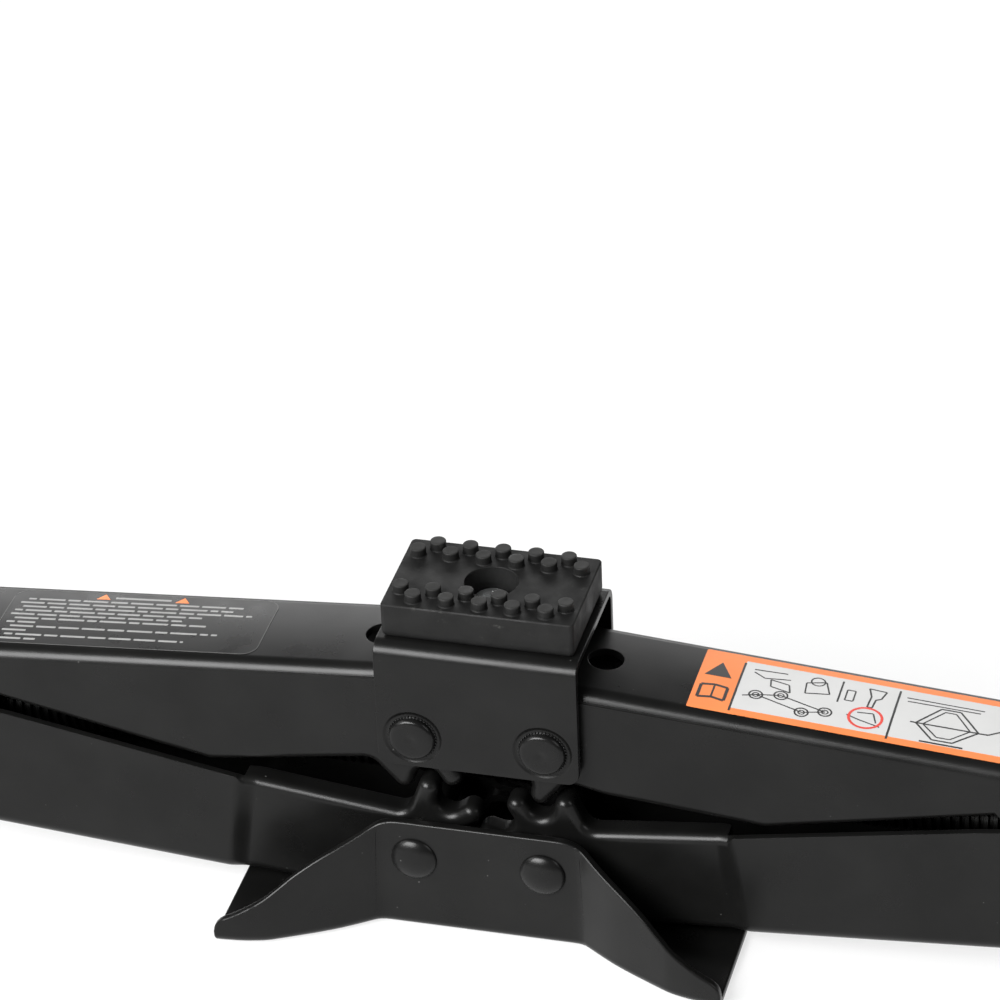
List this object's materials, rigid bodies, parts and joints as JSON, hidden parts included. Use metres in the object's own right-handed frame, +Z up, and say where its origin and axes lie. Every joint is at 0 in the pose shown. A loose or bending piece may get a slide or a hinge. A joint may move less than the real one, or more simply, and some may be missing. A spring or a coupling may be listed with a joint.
{
  "type": "scissor jack",
  "caption": "Folding scissor jack with geared channel arms, a flared sheet-metal foot, a saddle with a studded rubber pad, and a lead screw with a drive eye.",
  "frame": {"origin": "centre of the foot's underside, on the ground", "axes": "+X along the lead screw towards the drive eye, +Z up from the ground, +Y across the jack"},
  "size_m": [0.4677, 0.1024, 0.1197],
  "materials": {
    "black_paint": "satin black paint",
    "rivet_black": "gloss black paint over forged heads",
    "rubber": "moulded, matt",
    "zinc": "zinc plated",
    "steel": "machined, lightly oiled",
    "dark_steel": "forged, dark",
    "brass": "stamped",
    "label_dark": "glossy film",
    "label_orange": "glossy film"
  },
  "bodies": {
    "base": {"base_foot": "black_paint", "base_pin_left": "rivet_black", "base_pin_right": "rivet_black", "base_spacer_left_back": "steel", "base_spacer_left_front": "steel", "base_spacer_right_back": "steel", "base_spacer_right_front": "steel"},
    "lower_arm_right": {"lower_arm_right": "black_paint"},
    "bearing_block": {"bearing_trunnion": "dark_steel", "bearing_trunnion_washer_front": "steel", "bearing_trunnion_washer_back": "steel", "thrust_washer_inner": "steel"},
    "screw": {"lead_screw": "steel", "ball_cage": "brass", "thrust_washer_outer": "steel", "drive_eye": "dark_steel", "drive_pin": "steel", "stop_collar": "steel", "stop_pin": "steel", "thrust_ball_1": "zinc", "thrust_ball_2": "zinc", "thrust_ball_3": "zinc", "thrust_ball_4": "zinc", "thrust_ball_5": "zinc", "thrust_ball_6": "zinc", "thrust_ball_7": "zinc", "thrust_ball_8": "zinc"},
    "upper_arm_right": {"upper_arm_right": "black_paint", "label_right": "label_orange"},
    "saddle": {"saddle_bracket": "black_paint", "saddle_pin_left": "rivet_black", "saddle_pin_right": "rivet_black", "saddle_spacer_left_back": "steel", "saddle_spacer_left_front": "steel", "saddle_spacer_right_back": "steel", "saddle_spacer_right_front": "steel", "rubber_pad": "rubber", "pad_screw": "zinc", "pad_washer": "zinc", "pad_nut": "zinc"},
    "lower_arm_left": {"lower_arm_left": "black_paint"},
    "nut_block": {"nut_trunnion": "dark_steel", "nut_trunnion_washer_front": "steel", "nut_trunnion_washer_back": "steel"},
    "upper_arm_left": {"upper_arm_left": "black_paint", "label_left": "label_dark"}
  },
  "joints": [
    {"name": "lift", "type": "hinge", "parent": "base", "child": "lower_arm_right", "pos_m": [0.0211, 0, 0.0275], "axis": [0, -1, 0], "range_deg": [0, 59.4]},
    {"name": "bearing_block_pivot", "type": "hinge", "parent": "lower_arm_right", "child": "bearing_block", "pos_m": [0.18466, 0, 0.04925], "axis": [0, 1, 0], "range_deg": [0, 59.4]},
    {"name": "upper_arm_right_pivot", "type": "hinge", "parent": "bearing_block", "child": "upper_arm_right", "pos_m": [0.18466, 0, 0.04925], "axis": [0, 1, 0], "range_deg": [0, 59.4]},
    {"name": "saddle_pivot", "type": "hinge", "parent": "upper_arm_right", "child": "saddle", "pos_m": [0.0211, 0, 0.071], "axis": [0, -1, 0], "range_deg": [0, 59.4]},
    {"name": "lower_arm_left_pivot", "type": "hinge", "parent": "base", "child": "lower_arm_left", "pos_m": [-0.0211, 0, 0.0275], "axis": [0, 1, 0], "range_deg": [0, 59.4]},
    {"name": "nut_block_pivot", "type": "hinge", "parent": "lower_arm_left", "child": "nut_block", "pos_m": [-0.18466, 0, 0.04925], "axis": [0, -1, 0], "range_deg": [0, 59.4]},
    {"name": "upper_arm_left_pivot", "type": "hinge", "parent": "nut_block", "child": "upper_arm_left", "pos_m": [-0.18466, 0, 0.04925], "axis": [0, -1, 0], "range_deg": [0, 59.4]},
    {"name": "screw_turn", "type": "hinge", "parent": "bearing_block", "child": "screw", "pos_m": [0.18466, 0, 0.04925], "axis": [1, 0, 0], "continuous": true}
  ],
  "couplings": [
    {"joint": "bearing_block_pivot", "follows": "lift", "ratio": 1},
    {"joint": "upper_arm_right_pivot", "follows": "lift", "ratio": 1},
    {"joint": "saddle_pivot", "follows": "lift", "ratio": 1},
    {"joint": "lower_arm_left_pivot", "follows": "lift", "ratio": 1},
    {"joint": "nut_block_pivot", "follows": "lift", "ratio": 1},
    {"joint": "upper_arm_left_pivot", "follows": "lift", "ratio": 1}
  ]
}
